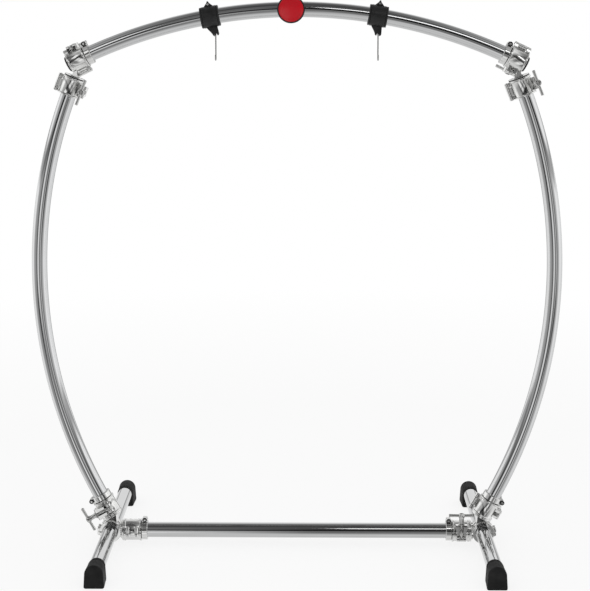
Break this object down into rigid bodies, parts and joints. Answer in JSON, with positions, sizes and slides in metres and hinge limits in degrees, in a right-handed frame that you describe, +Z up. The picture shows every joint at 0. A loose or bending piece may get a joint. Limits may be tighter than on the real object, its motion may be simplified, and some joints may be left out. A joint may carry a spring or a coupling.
{
  "type": "gong stand",
  "caption": "Free-standing gong stand: curved chrome tubes clamped into an upright ring on two booted legs, with two sliding hangers and swinging hooks.",
  "frame": {"origin": "on the floor, in the middle of the rectangle that the four boots stand on", "axes": "+Z up, X across the stand along the brace tube, -Y towards the pictured front"},
  "size_m": [1.3226, 0.66, 1.3864],
  "materials": {
    "chrome_tube": "polished chrome plate",
    "chrome_casting": "chrome plated zinc casting",
    "plated_steel": "bright plated steel",
    "hook_wire": "plated wire",
    "black_rubber": "moulded matt rubber",
    "black_plastic": "moulded nylon, satin",
    "badge_red": "glossy red enamel in a dark bezel"
  },
  "bodies": {
    "root": {"top_bar": "chrome_tube", "post_left": "chrome_tube", "post_right": "chrome_tube", "brace_tube": "chrome_tube", "leg_left": "chrome_tube", "boot_front_left": "black_rubber", "boot_rear_left": "black_rubber", "corner_left": "chrome_casting", "hub_left": "chrome_casting", "lock_bar_left": "chrome_casting", "lock_post_left": "chrome_casting", "lock_brace_left": "chrome_casting", "bar_plug_left": "black_rubber", "leg_right": "chrome_tube", "boot_front_right": "black_rubber", "boot_rear_right": "black_rubber", "corner_right": "chrome_casting", "hub_right": "chrome_casting", "lock_bar_right": "chrome_casting", "lock_post_right": "chrome_casting", "lock_brace_right": "chrome_casting", "bar_plug_right": "black_rubber", "brace_cap_left": "chrome_casting", "badge": "badge_red"},
    "jaw_bar_left": {"jaw_bar_left": "chrome_casting"},
    "bolt_bar_left": {"eyebolt_bar_left": "plated_steel"},
    "washer_bar_left": {"washer_bar_left": "plated_steel"},
    "nut_bar_left": {"t_nut_bar_left": "plated_steel"},
    "jaw_bar_right": {"jaw_bar_right": "chrome_casting"},
    "bolt_bar_right": {"eyebolt_bar_right": "plated_steel"},
    "washer_bar_right": {"washer_bar_right": "plated_steel"},
    "nut_bar_right": {"t_nut_bar_right": "plated_steel"},
    "jaw_post_top_left": {"jaw_post_top_left": "chrome_casting"},
    "bolt_post_top_left": {"eyebolt_post_top_left": "plated_steel"},
    "washer_post_top_left": {"washer_post_top_left": "plated_steel"},
    "nut_post_top_left": {"t_nut_post_top_left": "plated_steel"},
    "jaw_post_top_right": {"jaw_post_top_right": "chrome_casting"},
    "bolt_post_top_right": {"eyebolt_post_top_right": "plated_steel"},
    "washer_post_top_right": {"washer_post_top_right": "plated_steel"},
    "nut_post_top_right": {"t_nut_post_top_right": "plated_steel"},
    "jaw_post_foot_left": {"jaw_post_foot_left": "chrome_casting"},
    "bolt_post_foot_left": {"eyebolt_post_foot_left": "plated_steel"},
    "washer_post_foot_left": {"washer_post_foot_left": "plated_steel"},
    "nut_post_foot_left": {"t_nut_post_foot_left": "plated_steel"},
    "jaw_post_foot_right": {"jaw_post_foot_right": "chrome_casting"},
    "bolt_post_foot_right": {"eyebolt_post_foot_right": "plated_steel"},
    "washer_post_foot_right": {"washer_post_foot_right": "plated_steel"},
    "nut_post_foot_right": {"t_nut_post_foot_right": "plated_steel"},
    "jaw_brace_right": {"jaw_brace_right": "chrome_casting"},
    "bolt_brace_right": {"eyebolt_brace_right": "plated_steel"},
    "washer_brace_right": {"washer_brace_right": "plated_steel"},
    "nut_brace_right": {"t_nut_brace_right": "plated_steel"},
    "hanger_left": {"hanger_bush_left": "black_plastic"},
    "saddle_left": {"hanger_saddle_left": "black_plastic"},
    "hook_left": {"hook_left": "hook_wire"},
    "hanger_right": {"hanger_bush_right": "black_plastic"},
    "saddle_right": {"hanger_saddle_right": "black_plastic"},
    "hook_right": {"hook_right": "hook_wire"}
  },
  "joints": [
    {"name": "bolt_swing_bar_left", "type": "hinge", "parent": "root", "child": "bolt_bar_left", "pos_m": [-0.55107, -0.025, 1.26008], "axis": [0.9017, 0, 0.4323], "range_deg": [0, 75]},
    {"name": "washer_lift_bar_left", "type": "slide", "parent": "bolt_bar_left", "child": "washer_bar_left", "axis": [0, 1, 0], "range_m": [0, 0.0045]},
    {"name": "nut_turn_bar_left", "type": "hinge", "parent": "washer_bar_left", "child": "nut_bar_left", "pos_m": [-0.55107, -0.014, 1.26008], "axis": [0, 1, 0], "range_deg": [0, 1080]},
    {"name": "jaw_open_bar_left", "type": "hinge", "parent": "root", "child": "jaw_bar_left", "pos_m": [-0.52198, -0.014, 1.19939], "axis": [-0.9017, 0, -0.4323], "range_deg": [0, 3.36]},
    {"name": "bolt_swing_bar_right", "type": "hinge", "parent": "root", "child": "bolt_bar_right", "pos_m": [0.52293, -0.025, 1.20138], "axis": [-0.9017, 0, 0.4323], "range_deg": [0, 35]},
    {"name": "washer_lift_bar_right", "type": "slide", "parent": "bolt_bar_right", "child": "washer_bar_right", "axis": [0, 1, 0], "range_m": [0, 0.0045]},
    {"name": "nut_turn_bar_right", "type": "hinge", "parent": "washer_bar_right", "child": "nut_bar_right", "pos_m": [0.52293, -0.014, 1.20138], "axis": [0, 1, 0], "range_deg": [0, 1080]},
    {"name": "jaw_open_bar_right", "type": "hinge", "parent": "root", "child": "jaw_bar_right", "pos_m": [0.55202, -0.014, 1.26206], "axis": [0.9017, 0, -0.4323], "range_deg": [0, 3.36]},
    {"name": "bolt_swing_post_top_left", "type": "hinge", "parent": "root", "child": "bolt_post_top_left", "pos_m": [-0.52333, -0.003, 1.15238], "axis": [0.3729, 0, 0.9279], "range_deg": [0, 75]},
    {"name": "washer_lift_post_top_left", "type": "slide", "parent": "bolt_post_top_left", "child": "washer_post_top_left", "axis": [0, -1, 0], "range_m": [0, 0.0045]},
    {"name": "nut_turn_post_top_left", "type": "hinge", "parent": "washer_post_top_left", "child": "nut_post_top_left", "pos_m": [-0.52333, -0.014, 1.15238], "axis": [0, -1, 0], "range_deg": [0, 1080]},
    {"name": "jaw_open_post_top_left", "type": "hinge", "parent": "root", "child": "jaw_post_top_left", "pos_m": [-0.58577, -0.014, 1.17748], "axis": [-0.3729, 0, -0.9279], "range_deg": [0, 3.36]},
    {"name": "bolt_swing_post_top_right", "type": "hinge", "parent": "root", "child": "bolt_post_top_right", "pos_m": [0.58373, -0.003, 1.17666], "axis": [-0.3729, 0, 0.9279], "range_deg": [0, 75]},
    {"name": "washer_lift_post_top_right", "type": "slide", "parent": "bolt_post_top_right", "child": "washer_post_top_right", "axis": [0, -1, 0], "range_m": [0, 0.0045]},
    {"name": "nut_turn_post_top_right", "type": "hinge", "parent": "washer_post_top_right", "child": "nut_post_top_right", "pos_m": [0.58373, -0.014, 1.17666], "axis": [0, -1, 0], "range_deg": [0, 1080]},
    {"name": "jaw_open_post_top_right", "type": "hinge", "parent": "root", "child": "jaw_post_top_right", "pos_m": [0.52129, -0.014, 1.15156], "axis": [0.3729, 0, -0.9279], "range_deg": [0, 3.36]},
    {"name": "bolt_swing_post_foot_left", "type": "hinge", "parent": "root", "child": "bolt_post_foot_left", "pos_m": [-0.47357, -0.04655, 0.10241], "axis": [-0.4915, 0, 0.8709], "range_deg": [0, 75]},
    {"name": "washer_lift_post_foot_left", "type": "slide", "parent": "bolt_post_foot_left", "child": "washer_post_foot_left", "axis": [-0.8709, 0, -0.4915], "range_m": [0, 0.0045]},
    {"name": "nut_turn_post_foot_left", "type": "hinge", "parent": "washer_post_foot_left", "child": "nut_post_foot_left", "pos_m": [-0.48315, -0.04655, 0.097], "axis": [-0.8709, 0, -0.4915], "range_deg": [0, 1080]},
    {"name": "jaw_open_post_foot_left", "type": "hinge", "parent": "root", "child": "jaw_post_foot_left", "pos_m": [-0.48315, 0.02075, 0.097], "axis": [0.4915, 0, -0.8709], "range_deg": [0, 3.36]},
    {"name": "bolt_swing_post_foot_right", "type": "hinge", "parent": "root", "child": "bolt_post_foot_right", "pos_m": [0.5115, -0.025, 0.081], "axis": [-0.4915, 0, -0.8709], "range_deg": [0, 75]},
    {"name": "washer_lift_post_foot_right", "type": "slide", "parent": "bolt_post_foot_right", "child": "washer_post_foot_right", "axis": [0, 1, 0], "range_m": [0, 0.0045]},
    {"name": "nut_turn_post_foot_right", "type": "hinge", "parent": "washer_post_foot_right", "child": "nut_post_foot_right", "pos_m": [0.5115, -0.014, 0.081], "axis": [0, 1, 0], "range_deg": [0, 1080]},
    {"name": "jaw_open_post_foot_right", "type": "hinge", "parent": "root", "child": "jaw_post_foot_right", "pos_m": [0.45289, -0.014, 0.11408], "axis": [0.4915, 0, 0.8709], "range_deg": [0, 3.36]},
    {"name": "bolt_swing_brace_right", "type": "hinge", "parent": "root", "child": "bolt_brace_right", "pos_m": [0.418, -0.04655, 0.023], "axis": [1, 0, 0], "range_deg": [0, 75]},
    {"name": "washer_lift_brace_right", "type": "slide", "parent": "bolt_brace_right", "child": "washer_brace_right", "axis": [0, 0, 1], "range_m": [0, 0.0045]},
    {"name": "nut_turn_brace_right", "type": "hinge", "parent": "washer_brace_right", "child": "nut_brace_right", "pos_m": [0.418, -0.04655, 0.034], "axis": [0, 0, 1], "range_deg": [0, 1080]},
    {"name": "jaw_open_brace_right", "type": "hinge", "parent": "root", "child": "jaw_brace_right", "pos_m": [0.418, 0.02075, 0.034], "axis": [-1, 0, 0], "range_deg": [0, 3.36]},
    {"name": "hanger_travel_left", "type": "hinge", "parent": "root", "child": "hanger_left", "pos_m": [0, -0.014, 0.1106], "axis": [0, 1, 0], "range_deg": [-11, 6]},
    {"name": "saddle_swivel_left", "type": "hinge", "parent": "hanger_left", "child": "saddle_left", "pos_m": [-0.2115, -0.014, 1.33466], "axis": [0.9854, 0, 0.1703], "range_deg": [-45, 45]},
    {"name": "hook_swing_left", "type": "hinge", "parent": "saddle_left", "child": "hook_left", "pos_m": [-0.19771, -0.014, 1.29595], "axis": [1, 0, 0], "range_deg": [-50, 50]},
    {"name": "hanger_travel_right", "type": "hinge", "parent": "root", "child": "hanger_right", "pos_m": [0, -0.014, 0.1106], "axis": [0, 1, 0], "range_deg": [-6, 11]},
    {"name": "saddle_swivel_right", "type": "hinge", "parent": "hanger_right", "child": "saddle_right", "pos_m": [0.1983, -0.014, 1.33687], "axis": [0.9872, 0, -0.1596], "range_deg": [-45, 45]},
    {"name": "hook_swing_right", "type": "hinge", "parent": "saddle_right", "child": "hook_right", "pos_m": [0.19875, -0.014, 1.29577], "axis": [1, 0, 0], "range_deg": [-50, 50]}
  ],
  "couplings": [
    {"joint": "nut_turn_bar_left", "follows": "washer_lift_bar_left", "rad_per_m": 4188.4},
    {"joint": "jaw_open_bar_left", "follows": "washer_lift_bar_left", "rad_per_m": 13.02},
    {"joint": "nut_turn_bar_right", "follows": "washer_lift_bar_right", "rad_per_m": 4188.4},
    {"joint": "jaw_open_bar_right", "follows": "washer_lift_bar_right", "rad_per_m": 13.02},
    {"joint": "nut_turn_post_top_left", "follows": "washer_lift_post_top_left", "rad_per_m": 4188.4},
    {"joint": "jaw_open_post_top_left", "follows": "washer_lift_post_top_left", "rad_per_m": 13.02},
    {"joint": "nut_turn_post_top_right", "follows": "washer_lift_post_top_right", "rad_per_m": 4188.4},
    {"joint": "jaw_open_post_top_right", "follows": "washer_lift_post_top_right", "rad_per_m": 13.02},
    {"joint": "nut_turn_post_foot_left", "follows": "washer_lift_post_foot_left", "rad_per_m": 4188.4},
    {"joint": "jaw_open_post_foot_left", "follows": "washer_lift_post_foot_left", "rad_per_m": 13.02},
    {"joint": "nut_turn_post_foot_right", "follows": "washer_lift_post_foot_right", "rad_per_m": 4188.4},
    {"joint": "jaw_open_post_foot_right", "follows": "washer_lift_post_foot_right", "rad_per_m": 13.02},
    {"joint": "nut_turn_brace_right", "follows": "washer_lift_brace_right", "rad_per_m": 4188.4},
    {"joint": "jaw_open_brace_right", "follows": "washer_lift_brace_right", "rad_per_m": 13.02}
  ]
}
